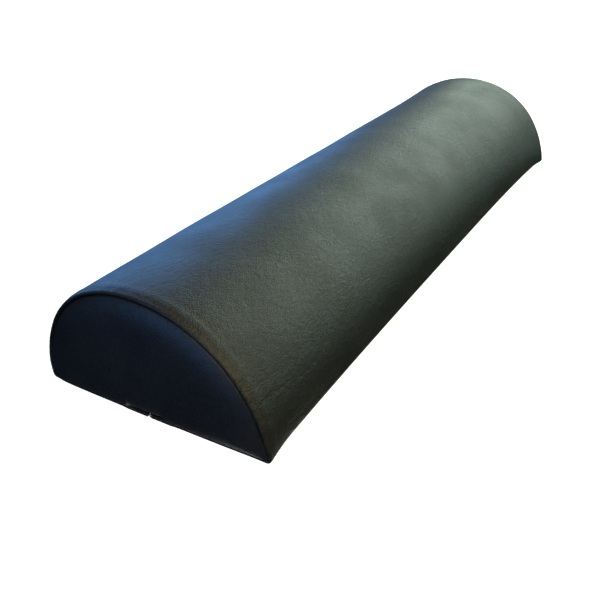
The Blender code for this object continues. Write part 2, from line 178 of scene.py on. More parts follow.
def makeLeatherette(name, look, grainShare=1.0):
    # PVC-coated knit, embossed with a fine calf grain: satin, with broad soft reflections
    material, tree, shader = newMaterial(name)
    place = addNode(tree, "ShaderNodeTexCoord").outputs["Object"]
    wobble = addNode(tree, "ShaderNodeTexNoise", {
        "Scale": 0.6 / look["grainWidth"], "Detail": 2.0, "Vector": place,
    })
    centred = addNode(tree, "ShaderNodeVectorMath", {
        1: (0.5, 0.5, 0.5), 0: wobble.outputs["Color"],
    }, operation="SUBTRACT")
    pushed = addNode(tree, "ShaderNodeVectorMath", {
        "Scale": 1.3 * look["grainWidth"], 0: centred,
    }, operation="SCALE")
    bent = addNode(tree, "ShaderNodeVectorMath", {0: place, 1: pushed}, operation="ADD")
    cells = addNode(tree, "ShaderNodeTexVoronoi", {
        "Scale": 1 / look["grainWidth"], "Vector": bent,
    }, feature="DISTANCE_TO_EDGE")
    grain = addNode(tree, "ShaderNodeMapRange", {
        "From Max": 0.22, "To Max": look["grainDepth"] * grainShare, "Value": cells,
    }, interpolation_type="SMOOTHSTEP")
    # Wrinkles a few millimetres long, lying mostly across the dome
    turned = addNode(tree, "ShaderNodeMapping", {
        "Rotation": (0.35, 0.2, 0.6), "Scale": (1.0, 1.7, 1.25), "Vector": place,
    })
    folds = addNode(tree, "ShaderNodeTexNoise", {
        "Scale": 1 / look["wrinkleWidth"], "Detail": 3.0, "Roughness": 0.6, "Distortion": 0.6,
        "Vector": turned,
    })
    wrinkles = addNode(tree, "ShaderNodeMapRange", {
        "From Min": 0.35, "From Max": 0.65, "To Max": look["wrinkleDepth"], "Value": folds,
    })
    # A few long hide-like creases, in patches
    slanted = addNode(tree, "ShaderNodeMapping", {
        "Rotation": (0.2, -0.5, 0.9), "Scale": (0.55, 1.8, 1.2), "Vector": place,
    })
    lines = addNode(tree, "ShaderNodeTexNoise", {
        "Scale": 1 / look["creaseWidth"], "Detail": 2.5, "Roughness": 0.5, "Distortion": 0.35,
        "Vector": slanted,
    })
    level = addNode(tree, "ShaderNodeMath", {1: 0.5, 0: lines}, operation="SUBTRACT")
    near = addNode(tree, "ShaderNodeMath", {0: level}, operation="ABSOLUTE")
    creases = addNode(tree, "ShaderNodeMapRange", {
        "From Max": 0.030, "To Max": look["creaseDepth"], "Value": near,
    }, interpolation_type="SMOOTHSTEP")
    patches = addNode(tree, "ShaderNodeTexNoise", {
        "Scale": look["creasePatches"], "Detail": 1.0, "Vector": place,
    })
    where = addNode(tree, "ShaderNodeMapRange", {"From Min": 0.50, "From Max": 0.66, "Value": patches})
    someCreases = addNode(tree, "ShaderNodeMath", {0: creases, 1: where}, operation="MULTIPLY")
    fine = addNode(tree, "ShaderNodeMath", {0: grain, 1: wrinkles}, operation="ADD")
    height = addNode(tree, "ShaderNodeMath", {0: fine, 1: someCreases}, operation="ADD")
    gloss = addNode(tree, "ShaderNodeTexNoise", {
        "Scale": look["glossPatches"], "Detail": 3.0, "Vector": place,
    })
    rough = addNode(tree, "ShaderNodeMapRange", {
        "From Min": 0.3, "From Max": 0.7, "To Min": look["roughness"] - look["roughnessSpread"],
        "To Max": look["roughness"] + look["roughnessSpread"], "Value": gloss,
    })
    # Painted shade: the base colour darkens towards black in the grain's hollows, near the cells' edges
    paintedShadeMask = addNode(tree, "ShaderNodeMapRange", {
        "From Max": 0.12, "To Min": look["paintedHollowShade"], "Value": cells,
    })
    paintedShadeTones = {"dark": "#000000", "light": look["colour"], "bumpDepth": 1.0}   # the heights are metres already
    finishSurface(tree, shader, paintedShadeTones, paintedShadeMask.outputs["Result"], height.outputs["Value"])
    tree.links.new(rough.outputs["Result"], shader.inputs["Roughness"])
    shader.inputs["IOR"].default_value = 1.53
    return material


def makeSurface(look):
    # A plain surface that one pattern tints and raises
    material, tree, shader = newMaterial(look["name"])
    place = addNode(tree, "ShaderNodeTexCoord").outputs["Object"]
    pattern = addNode(tree, look["pattern"], {**look["sizes"], "Vector": place}, **look.get("settings", {}))
    finishSurface(tree, shader, look, pattern.outputs[look["output"]])
    if "ior" in look:
        shader.inputs["IOR"].default_value = look["ior"]
    return material


diagonalBands = {"wave_type": "BANDS", "bands_direction": "DIAGONAL"}

# The knitted polyester back of the leatherette, seen only where its cut edge shows: matt, with fine ribs
knit = {
    "name": "knittedPolyesterBacking", "dark": "#23272a", "light": "#4a5056", "roughness": 0.9,
    "bumpDepth": 0.0001, "pattern": "ShaderNodeTexWave", "settings": diagonalBands, "output": "Fac",
    "sizes": {"Scale": bandScale(0.004343, 10), "Distortion": 0.4, "Detail": 1.0},   # ribs 4.3 mm apart
}

# Bonded polyester thread: plies twisted together, slightly shiny
yarn = {
    "name": "bondedPolyesterThread", "dark": "#0c0d0e", "light": "#25272a", "roughness": 0.55,
    "bumpDepth": 0.00012, "pattern": "ShaderNodeTexWave", "settings": diagonalBands, "output": "Fac",
    "sizes": {"Scale": bandScale(0.003158, 10)},   # a turn of the plies in 3.2 mm
}

# Nylon monofilament: smooth and a little glossy, dyed through, a little unevenly
nylon = {
    "name": "dyedNylonMonofilament", "dark": "#15171a", "light": "#26292d", "roughness": 0.33, "ior": 1.53,
    "pattern": "ShaderNodeTexNoise", "output": "Fac",
    "sizes": {"Scale": 90.0, "Detail": 2.0},   # patches of dye 11 mm across
}

# Open-cell polyurethane foam, cut with a hot wire: matt, with pores about a millimetre wide
sponge = {
    "name": "openCellPolyurethaneFoam", "dark": "#c9ba8a", "light": "#eadfb8", "roughness": 0.95,
    "bumpDepth": 0.0003, "pattern": "ShaderNodeTexVoronoi", "output": "Distance",
    "sizes": {"Scale": 1 / 0.0011},
}

# Bonded polyester wadding: white, fibrous and soft-edged
fleece = {
    "name": "bondedPolyesterWadding", "dark": "#d8d8d4", "light": "#f6f6f2", "roughness": 0.95,
    "bumpDepth": 0.0005, "pattern": "ShaderNodeTexNoise", "output": "Fac",
    "sizes": {"Scale": 700.0, "Detail": 5.0, "Distortion": 3.0},   # tufts 1.4 mm across
}

weave = {"dark": "#0e0f11", "light": "#2a2c30", "roughness": 0.85, "bumpDepth": 0.00012,
         "warpSpacing": 0.001184, "weftSpacing": 0.001777}


def makeZipTape():
    # Woven polyester tape. The threads are drawn about twice as far apart as real ones, so that they show
    material, tree, shader = newMaterial("wovenPolyesterTape")
    place = addNode(tree, "ShaderNodeTexCoord").outputs["Object"]
    warp = addNode(tree, "ShaderNodeTexWave", {
        "Scale": bandScale(weave["warpSpacing"]), "Vector": place,
    }, wave_type="BANDS", bands_direction="Y")
    weft = addNode(tree, "ShaderNodeTexWave", {
        "Scale": bandScale(weave["weftSpacing"]), "Distortion": 0.6, "Vector": place,
    }, wave_type="BANDS", bands_direction="X")
    woven = addNode(tree, "ShaderNodeMath", {
        0: warp.outputs["Fac"], 1: weft.outputs["Fac"],
    }, operation="MULTIPLY")
    finishSurface(tree, shader, weave, woven.outputs["Value"])
    return material


zinc = {"dark": "#4d4e52", "light": "#8a8b90", "bumpDepth": 0.00003,
        "castPatches": 900.0, "rubbedPatches": 160.0}   # per metre


def makeDieCastZinc():
    # Die-cast zinc with a dark nickel finish, rubbed brighter where it catches
    material, tree, shader = newMaterial("darkNickelOnDieCastZinc")
    place = addNode(tree, "ShaderNodeTexCoord").outputs["Object"]
    cast = addNode(tree, "ShaderNodeTexNoise", {
        "Scale": zinc["castPatches"], "Detail": 4.0, "Vector": place,
    })
    rubbed = addNode(tree, "ShaderNodeTexNoise", {
        "Scale": zinc["rubbedPatches"], "Detail": 3.0, "Vector": place,
    })
    rough = addNode(tree, "ShaderNodeMapRange", {
        "From Min": 0.3, "From Max": 0.7, "To Min": 0.26, "To Max": 0.42, "Value": cast,
    })
    finishSurface(tree, shader, zinc, rubbed.outputs["Fac"], cast.outputs["Fac"])
    tree.links.new(rough.outputs["Result"], shader.inputs["Roughness"])
    shader.inputs["Metallic"].default_value = 1.0
    return material


bodyLeatherette = makeLeatherette("embossedLeatherette", leatherette)
endLeatherette = makeLeatherette("embossedLeatheretteEnds", {**leatherette, **smootherEnds}, 0.5)
knitBacking = makeSurface(knit)
thread = makeSurface(yarn)
zipTape = makeZipTape()
nylonCoil = makeSurface(nylon)
dieCastZinc = makeDieCastZinc()
foam = makeSurface(sponge)
wadding = makeSurface(fleece)
print("materials made")


# The bolster's section, as the cover's outer surface in (y, z), and how it settles along its length

section = {
    "fullness": 2.04,        # 2 is an ellipse, more is squarer
    "baseCorner": 0.007,     # radius of the lower edges
    "endCorner": 0.0040,     # the same at the ends, where the corners are sewn to a point
    "cornerReach": 0.030,    # how far from an end the corner sharpens
    "lipGap": 0.007,         # half the gap between the two folded edges beside the zip
    "endGap": 0.0012,        # the same where they are caught in the end seam
    "lipCloses": 0.014,
    "hemWidth": 0.011,
    "sheet": 0.0012,
    "valleyTop": 0.020,      # half-width of the recess round the zip, at its top
    "valleySlope": 0.008,
    "endDrop": 0.0037,       # how far the zip comes down to the base as it enters the end seams
    "dropLength": 0.019,
    # the end panel's edge passes over the zip: its rise, and its half-widths at top and foot
    "panelArch": (0.0030, 0.0150, 0.0225),
}

settle = {
    "waist": 0.0020,         # how far the lower edges draw in at mid-length
    "waistHeight": 0.075,
    "unevenness": 0.00045,
    # slow waves over the dome, as (turns along, turns round, start, share)
    "waves": [(9.1, 2.2, 0.4, 1.0), (21.3, -3.1, 1.9, 0.7), (38.7, 5.3, 4.2, 0.5), (64.1, -7.7, 2.6, 0.35)],
    "endBow": 0.0012,        # how far the base stands out at an end
    "bowLength": 0.016,
    # how far the lower edges spread, and the top rises, at each end
    "flares": {(-1, -1): 0.0014, (-1, 1): 0.0024, (1, -1): 0.0044, (1, 1): 0.0030},
    "flareHeight": 0.060,
    "topFlares": {-1: 0.0, 1: 0.0020},
    "cornerPoint": (0.0012, 0.0030),   # how far a sewn corner stands out, along and across
    "cornerSpread": 0.0080,
    "roundedLift": 0.0016,   # a corner with a negative share is rounder, and lifts
    "cornerShares": {(-1, -1): 0.35, (-1, 1): -0.40, (1, -1): 0.5, (1, 1): 0.5},
}

tapeLow, tapeHigh = (corner.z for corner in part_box("zip_tape_left"))
coilLow, coilHigh = (corner.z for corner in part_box("zip_coil_left"))
hemHigh = coilHigh
lipLow = hemHigh - 2 * section["sheet"] - 0.0003


def zipDrop(x):
    return section["endDrop"] * smoothStep(np.abs(x), halfLength - section["dropLength"], halfLength)


def resample(points, count, ease=0.0):
    points = np.asarray(points, float)
    steps = np.hypot(*np.diff(points, axis=0).T)
    along = np.concatenate([[0], np.cumsum(steps)])
    t = np.linspace(0, 1, count)
    t = t * (1 - ease) + ease * (3 * t * t - 2 * t ** 3)
    wanted = t * along[-1]
    return np.column_stack([np.interp(wanted, along, points[:, k]) for k in (0, 1)])


def arcRun(centre, radii, start, end, count):
    angles = np.radians(np.linspace(start, end, count))
    return np.column_stack([centre[0] + radii[0] * np.cos(angles), centre[1] + radii[1] * np.sin(angles)])


def domeRun(corner, count):
    power = 2 / section["fullness"]
    angles = np.linspace(0, math.pi / 2, 400)
    y = halfWidth * np.cos(angles).clip(0) ** power
    z = corner + (coverHeight - corner) * np.sin(angles).clip(0) ** power
    return resample(np.column_stack([y, z]), count)


def slopeRun(yLow, zLow, yHigh, zHigh, count):
    t = np.linspace(0, 1, count)
    return np.column_stack([yHigh + (yLow - yHigh) * t, zHigh + (zLow - zHigh) * smoothStep(t, 0, 1)])


def cornerAt(x):
    sharp = smoothStep(abs(x), halfLength - section["cornerReach"], halfLength)
    return section["baseCorner"] * (1 - sharp) + section["endCorner"] * sharp


def joinRuns(runs):
    points, kinds = [], []
    for kind, run in runs:
        run = run[1:] if points else run
        points.append(run)
        kinds += [kind] * len(run)
    return np.vstack(points), kinds


def closeHalf(points, kinds):
    # Mirrors a half section to -Y, going on from the crown
    mirrored = points[-2::-1] * np.array([-1, 1])
    return np.vstack([points, mirrored]), kinds + kinds[-2::-1]


def outwards(points, closed=False):
    if closed:
        tangent = np.roll(points, -1, axis=0) - np.roll(points, 1, axis=0)
    else:
        tangent = np.gradient(points, axis=0)
    tangent = tangent / np.hypot(tangent[:, 0], tangent[:, 1])[:, None]
    return np.column_stack([tangent[:, 1], -tangent[:, 0]])


def lipGapAt(x):
    closing = float(smoothStep(abs(x), halfLength - section["lipCloses"], halfLength - 0.001))
    return section["lipGap"] * (1 - closing) + section["endGap"] * closing


def upperRuns(corner, cornerPoints, domePoints):
    return [("corner", arcRun((halfWidth - corner, corner), (corner, corner), -90, 0, cornerPoints)),
            ("dome", domeRun(corner, domePoints))]


def archedSection(corner, arch, counts, ease=0.0):
    # A closed section whose base rises over the zip in an arch: its height, and half-widths at top and foot
    top, flat, foot = arch
    points, kinds = closeHalf(*joinRuns([
        ("base", resample([(0, top), (flat, top)], counts[0])),
        ("base", slopeRun(foot, 0, flat, top, counts[1])),
        ("base", resample([(foot, 0), (halfWidth - corner, 0)], counts[2], ease)),
        *upperRuns(corner, *counts[3:]),
    ]))
    return points[:-1], kinds[:-1]


def wrapSection(x):
    drop = float(zipDrop(x))
    corner = float(cornerAt(x))
    top, low = hemHigh - drop, lipLow - drop
    fold = (top - low) / 2
    gap = lipGapAt(x)
    foldY = gap + fold
    slopeEnd = section["valleyTop"] + section["valleySlope"]
    return closeHalf(*joinRuns([
        ("lip", resample([(gap + section["hemWidth"], top), (foldY, top)], 4)),
        ("lip", arcRun((foldY, low + fold), (fold, fold), 90, 270, 8)),
        ("lip", resample([(foldY, low), (section["valleyTop"], low)], 5)),
        ("slope", slopeRun(slopeEnd, 0, section["valleyTop"], low, 8)),
        ("base", resample([(slopeEnd, 0), (halfWidth - corner, 0)], 20, 0.5)),
        *upperRuns(corner, 8, 54),
    ]))


def panelSection():
    # The end panel's edge: a closed curve that passes over the zip
    return archedSection(section["endCorner"], section["panelArch"], (8, 8, 22, 8, 54), 0.5)


def settled(p):
    # The sewn cover's own shape: drawn in along the lower edges, and not quite even
    x, y, z = p[:, 0], p[:, 1], p[:, 2]
    along = np.clip(np.abs(x) / halfLength, 0, 1)
    pull = settle["waist"] * (1 - along ** 2.6) * (1 - smoothStep(z, 0, settle["waistHeight"]))
    outer = smoothStep(np.abs(y), 0.02, halfWidth)
    flare = np.zeros_like(x)
    for (sideX, sideY), reach in settle["flares"].items():
        flare += np.where((x * sideX > 0) & (y * sideY > 0), reach, 0)
    spread = flare * along ** 4 * (1 - smoothStep(z, 0.01, settle["flareHeight"]))
    y = y + np.sign(y) * (spread - pull) * outer
    nearEnd = np.exp(-np.maximum(halfLength - np.abs(x), 0) / settle["bowLength"])
    bow = settle["endBow"] * (1 - np.clip(np.abs(y) / halfWidth, 0, 1) ** 3)
    x = x + np.sign(x) * bow * nearEnd * (1 - smoothStep(z, 0.002, 0.030))
    around = np.arctan2(z, y)
    free = smoothStep(z, 0.002, 0.03) * (1 - smoothStep(along, 0.93, 1.0))
    waves = settle["waves"]
    wave = sum(share * np.sin(a * x + b * around + start) for a, b, start, share in waves) / 2.5
    risen = np.where(x > 0, settle["topFlares"][1], settle["topFlares"][-1])
    lift = settle["unevenness"] * wave * free + risen * along ** 6 * smoothStep(z, 0.02, 0.06)
    return np.column_stack([x, y + lift * np.cos(around), z + lift * np.sin(around)])


def cornersOut(p):
    # Draws the four lower corners out to their sewn points, or rounds them
    out = p.copy()
    reach = settle["cornerSpread"]
    dx, dy = settle["cornerPoint"]
    for (sideX, sideY), share in settle["cornerShares"].items():
        centre = np.array([sideX * halfLength, sideY * (halfWidth - 0.002), 0.0015])
        gap = (p - centre) / np.array([reach * 1.15, reach, reach * 1.3])
        weight = share * np.exp(-np.sum(gap ** 2, axis=1))
        out += weight[:, None] * np.array([sideX * dx, sideY * dy, 0.0])
        out[:, 2] += settle["roundedLift"] * np.maximum(-weight, 0)
    out[:, 2] = np.maximum(out[:, 2], 0.0)
    return out


# The cover is blown up over its filling as cloth, on a coarse copy, and the fine sheets take its shape

cloth = {
    "rows": 72,
    "columns": 64,
    "capRings": 7,
    "startInset": 0.0012,    # the copy starts a little smaller, because it swells
    "seamPull": 0.982,       # the end seams are sewn a little shorter than the sheet
    "mass": 0.3,
    "stretchStiffness": 25,
    "shearStiffness": 10,
    "bendStiffness": 1.5,
    "pressure": 4.0,
    "frames": 20,
    "limit": 0.005,          # furthest that a point may move
    "centre": (0.0, 0.043),  # where the end panels' rings shrink to, as (y, z)
}


def clothLoop(inset):
    corner = section["baseCorner"]
    base = resample([(0, 0), (halfWidth - corner, 0)], 30)
    half, kinds = joinRuns([("base", base), *upperRuns(corner, 8, 60)])
    loop = resample(closeHalf(half, kinds)[0], cloth["columns"] + 1)[:-1]
    return loop - outwards(loop, closed=True) * inset


def loopAngle(y, z):
    # Turns round the section, from 0 under the middle of the base
    return np.mod(np.arctan2(z - cloth["centre"][1], y) + math.pi / 2, 2 * math.pi)


def makeClothCopy():
    columns = cloth["columns"]
    nominal, started = clothLoop(0.0), clothLoop(cloth["startInset"])
    centre = np.array(cloth["centre"])
    based = nominal[:, 1] < 0.0015
    seam = centre + (nominal - centre) * cloth["seamPull"]
    started[based] = nominal[based]
    seam[based] = nominal[based]
    xs = np.linspace(-halfLength, halfLength, cloth["rows"])
    loops = [seam] + [started] * (len(xs) - 2) + [seam]
    vertices = np.vstack([np.column_stack([np.full(columns, x), loop]) for x, loop in zip(xs, loops)])
    faces = gridFaces(len(xs), columns, closed=True)
    last = len(vertices) - columns
    held = [k for k in range(len(vertices)) if based[k % columns] or k < columns or k >= last]
    caps = {}
    for side in (-1, 1):
        ring = list(range(columns)) if side < 0 else list(range(last, last + columns))
        caps[side] = []
        for step in range(1, cloth["capRings"]):
            shrunk = seam + (centre - seam) * step / cloth["capRings"]
            inner = list(range(len(vertices), len(vertices) + columns))
            vertices = np.vstack([vertices, np.column_stack([np.full(columns, side * halfLength), shrunk])])
            for j in range(columns):
                k = (j + 1) % columns
                quad = (ring[j], ring[k], inner[k], inner[j])
                faces.append(quad if side > 0 else quad[::-1])
            caps[side].append(inner)
            ring = inner
        pole = len(vertices)
        vertices = np.vstack([vertices, [[side * halfLength, *centre]]])
        faces += poleFaces(ring, pole, side)
        caps[side].append([pole] * columns)
    return newObject("clothCopy", vertices, faces, bodyLeatherette), vertices, held, caps


def blowUp():
    # How far the sheet moves, over (length, turn), and over (ring, turn) on each end panel
    piece, begun, held, caps = makeClothCopy()
    piece.vertex_groups.new(name="held").add(held, 1.0, "REPLACE")
    modifier = piece.modifiers.new("cloth", "CLOTH")
    settings = modifier.settings
    settings.quality = 6
    settings.mass = cloth["mass"]
    settings.tension_stiffness = settings.compression_stiffness = cloth["stretchStiffness"]
    settings.shear_stiffness = cloth["shearStiffness"]
    settings.bending_stiffness = cloth["bendStiffness"]
    settings.use_pressure = True
    settings.uniform_pressure_force = cloth["pressure"]
    settings.vertex_group_mass = "held"
    settings.effector_weights.gravity = 0
    modifier.collision_settings.use_collision = False
    modifier.point_cache.frame_start, modifier.point_cache.frame_end = 1, cloth["frames"]
    for number in range(1, cloth["frames"] + 1):
        bpy.context.scene.frame_set(number)
    swollen = bpy.data.meshes.new_from_object(piece.evaluated_get(bpy.context.evaluated_depsgraph_get()))
    ended = np.empty(len(begun) * 3)
    swollen.vertices.foreach_get("co", ended)
    bpy.data.objects.remove(piece, do_unlink=True)
    bpy.data.meshes.remove(swollen)
    bpy.context.scene.frame_set(1)
    moved = ended.reshape(-1, 3) - begun
    reach = np.linalg.norm(moved, axis=1)
    moved *= np.minimum(1, cloth["limit"] / np.maximum(reach, 1e-9))[:, None]
    print("cloth: furthest move", round(float(reach.max()) * 1000, 2), "mm")
    sheet = moved[:cloth["rows"] * cloth["columns"]].reshape(cloth["rows"], cloth["columns"], 3)
    ends = {side: np.array([np.zeros_like(sheet[0])] + [moved[ring] for ring in caps[side]]) for side in caps}
    return {"sheet": sheet, "ends": ends}


def smoothWeights(t):
    # Weights of four neighbours for a smooth curve through the middle two
    return [-0.5 * t + t ** 2 - 0.5 * t ** 3, 1 - 2.5 * t ** 2 + 1.5 * t ** 3,
            0.5 * t + 2 * t ** 2 - 1.5 * t ** 3, -0.5 * t ** 2 + 0.5 * t ** 3]


def sampleGrid(grid, row, turn):
    # Reads a grid smoothly at a fractional row and a turn in radians
    columns = grid.shape[1]
    ticks = np.append(loopAngle(*clothLoop(0.0).T), 2 * math.pi)
    column = np.interp(turn, ticks, np.arange(columns + 1))
    row = np.clip(row, 0, grid.shape[0] - 1)
    i, j = np.floor(row).astype(int), np.floor(column).astype(int)
    total = np.zeros((len(row), 3))
    for a, rowWeight in enumerate(smoothWeights(row - i)):
        for b, columnWeight in enumerate(smoothWeights(column - j)):
            near = grid[np.clip(i + a - 1, 0, grid.shape[0] - 1), (j + b - 1) % columns]
            total += (rowWeight * columnWeight)[:, None] * near
    return total


def swell(points):
    # Moves points of the dome as the cloth moved; the base stays on the ground
    if blown is None:
        return points
    x, y, z = points.T
    row = (x + halfLength) / (2 * halfLength) * (cloth["rows"] - 1)
    move = sampleGrid(blown["sheet"], row, loopAngle(y, z))
    return points + move * smoothStep(z, 0.003, 0.020)[:, None]


def swellEnd(points, side, share):
    # The same for an end panel, by each point's share of the way from its seam to its middle
    if blown is None:
        return points
    row = np.clip(share, 0, 1) * cloth["capRings"]
    move = sampleGrid(blown["ends"][side], row, loopAngle(points[:, 1], points[:, 2]))
    return points + move


blown = blowUp()


# Cover body: one sheet over the dome, round the lower edges and up to the hems beside the zip

wrap = {
    "rollLength": 0.0018,    # where the sheet turns over into the end seam
    "rollDepth": 0.0017,     # how far the turn goes in on the dome
    "baseDepth": 0.0010,     # the same under the bolster
    "taperLength": 0.0130,   # the sheet draws in a little before it turns
    "taperDepths": {-1: 0.0012, 1: 0.0004},
    "rowSpacing": 0.0050,
    "ridgeHeight": 0.00035,  # the seam allowance, felt through the sheet
    "puckerHeight": 0.00028,
    "puckerLength": 0.0135,
    "puckerReach": 0.011,
    "seamInset": 0.0003,     # from the end to the plane of the seam
    # rows near an end, in millimetres from it
    "edgeRows": (30, 25, 21, 17.5, 14.8, 12.6, 11.2, 10.2, 9.4, 8.6, 7.8, 7.0, 6.2, 5.4, 4.6),
    "rollRows": 10,
    # how the allowance lies inside the seam, as (distance in, extra depth)
    "allowance": [
        (0.0009, 0.00030), (0.0018, 0.00060), (0.0030, 0.00090), (0.0046, 0.00105), (0.0090, 0.00110)],
}


def isKind(kinds, *wanted):
    return np.array([kind in wanted for kind in kinds])


def slopeShare(points):
    # 0 at the top of the slope beside the zip, 1 at its foot
    top = section["valleyTop"]
    return smoothStep(np.abs(points[:, 0]), top, top + section["valleySlope"])


def depthAt(points, kinds):
    # How far in the end seam lies, blended over the lower corners
    depth = np.where(isKind(kinds, "base"), wrap["baseDepth"], 0.0)
    risen = wrap["baseDepth"] + (wrap["rollDepth"] - wrap["baseDepth"]) * smoothStep(points[:, 1], 0.0, 0.016)
    depth = np.where(isKind(kinds, "slope"), wrap["baseDepth"] * slopeShare(points), depth)
    return np.where(isKind(kinds, "corner", "dome"), risen, depth)


def taperAt(points, kinds, side, gap):
    # How far the dome has drawn in at a distance from its end
    share = np.clip(1 - np.asarray(gap) / wrap["taperLength"], 0, 1) ** 2
    on = isKind(kinds, "corner", "dome") * smoothStep(points[:, 1], 0.0, 0.03)
    return wrap["taperDepths"][side] * share * on


def tuckAt(points, kinds):
    # 1 where the sheet turns into the end seam, 0 at the hems, which stop in it
    weight = np.where(isKind(kinds, "lip"), 0.0, 1.0)
    weight = np.where(isKind(kinds, "slope"), slopeShare(points), weight)
    return np.where(weight < 0.9, 0, weight)


def endRows():
    # (distance in from the end, share of the roll, extra depth, whether it is inside the seam)
    rows = [(e / 1000, 0.0, 0.0, False) for e in wrap["edgeRows"]]
    for lean in np.radians(np.linspace(0, 90, wrap["rollRows"])):
        rows.append((wrap["rollLength"] * (1 - math.sin(lean)) + 0.0002, 1 - math.cos(lean), 0.0, False))
    rows.append((wrap["seamInset"], 1.0, 0.00010, False))
    return rows + [(e, 1.0, extra, True) for e, extra in wrap["allowance"]]


def thickened(piece):
    # Gives a sheet its thickness, inwards, with the knit on its back and its cut edges
    piece.data.materials.append(knitBacking)
    shell = piece.modifiers.new("sheet", "SOLIDIFY")
    shell.thickness = section["sheet"]
    shell.offset = -1
    shell.material_offset = 1
    shell.material_offset_rim = 1
    return piece


def makeCoverBody():
    ends = endRows()
    reach = halfLength - ends[0][0]
    middle = np.arange(-reach + wrap["rowSpacing"], reach - 0.001, wrap["rowSpacing"])
    plan = [(-1, row) for row in reversed(ends)] + [(0, x) for x in middle] + [(1, row) for row in ends]
    grid = []
    for side, row in plan:
        x = row if side == 0 else side * (halfLength - row[0])
        if side and row[3]:
            x = side * (halfLength - wrap["seamInset"])
        points, kinds = wrapSection(x)
        normal = outwards(points)
        edgeGap = halfLength - abs(x)
        xs = np.full(len(points), x)
        arc = np.concatenate([[0], np.cumsum(np.hypot(*np.diff(points, axis=0).T))])
        ridge = smoothStep(edgeGap, 0.0035, 0.0065) * (1 - smoothStep(edgeGap, 0.0088, 0.0125))
        free = isKind(kinds, "dome") * smoothStep(points[:, 1], 0.004, 0.02)
        ripple = np.sin(2 * math.pi * arc / wrap["puckerLength"] + 1.3 * np.sin(arc * 41 + 3 * side))
        strength = 0.45 + 0.55 * np.sin(arc * 23.0 + 1.7 + side) * np.sin(arc * 57.0)
        fading = math.exp(-edgeGap / wrap["puckerReach"]) * smoothStep(edgeGap, 0.0, 0.004)
        push = (wrap["ridgeHeight"] * ridge + wrap["puckerHeight"] * ripple * strength * fading) * free
        push = push - taperAt(points, kinds, -1 if x < 0 else 1, edgeGap)
        if side:
            e, share, extra, inside = row
            weight = tuckAt(points, kinds)
            push = push - depthAt(points, kinds) * share - extra * weight
            if inside:
                folded = np.where(weight > 0, (wrap["seamInset"] - e) * weight, 0.03 * e)
                xs = side * (halfLength - wrap["seamInset"] + folded)
        points = points + normal * np.asarray(push)[:, None]
        grid.append(np.column_stack([xs, points]))
    rows, columns = len(grid), len(grid[0])
    vertices = cornersOut(settled(swell(np.vstack(grid))))
    print("cover body:", rows, "rows of", columns)
    return thickened(newObject("leatherette_body", vertices, gridFaces(rows, columns), bodyLeatherette))


# End panels

endPanel = {
    "edgeCrown": 0.0044,     # how far the panel stands out just inside its seam
    "edgeReach": 0.0080,
    "baseReach": 0.0034,
    "middleCrown": 0.0013,
    "middleReach": 0.0300,
    # how its edge turns in to the seam, as (distance in, inset)
    "tuck": [(0.0090, 0.00125), (0.0060, 0.00125), (0.0046, 0.00128), (0.0036, 0.00138), (0.0027, 0.00152),
             (0.0019, 0.00172), (0.0012, 0.00200), (0.0006, 0.00240), (0.0001, 0.0031)],
    "rings": 34,
    "puckerHeight": 0.00022,
    "puckerLength": 0.012,
    "puckerReach": 0.007,
    "baseSeam": 0.0012,      # height of the lower seam, and how far it rises over the zip
    "baseRise": 0.0035,
}


def panelCrown(y, z, edgeDepth):
    # How far the filling pushes the panel out: most of it just inside the seam, and none along it
    corner = section["endCorner"]
    wide, high = halfWidth - edgeDepth, coverHeight - corner - edgeDepth
    power = section["fullness"]
    up = np.maximum(z - corner, 0)
    level = ((np.abs(y) / wide) ** power + (up / high) ** power) ** (1 / power)
    fromDome = np.maximum(np.hypot(y, up) * (1 / np.maximum(level, 1e-6) - 1), 0)
    fromDome = np.where(level < 1e-3, high, fromDome)
    base = endPanel["baseSeam"] + endPanel["baseRise"] * (1 - smoothStep(np.abs(y), 0.012, 0.026))
    fromBase = np.maximum(z - base, 0)
    edge = endPanel["edgeReach"]
    broad = endPanel["middleReach"]
    near = (1 - np.exp(-fromDome / edge)) * (1 - np.exp(-fromBase / endPanel["baseReach"]))
    far = (1 - np.exp(-fromDome / broad)) * (1 - np.exp(-fromBase / broad))
    return endPanel["edgeCrown"] * near + endPanel["middleCrown"] * far


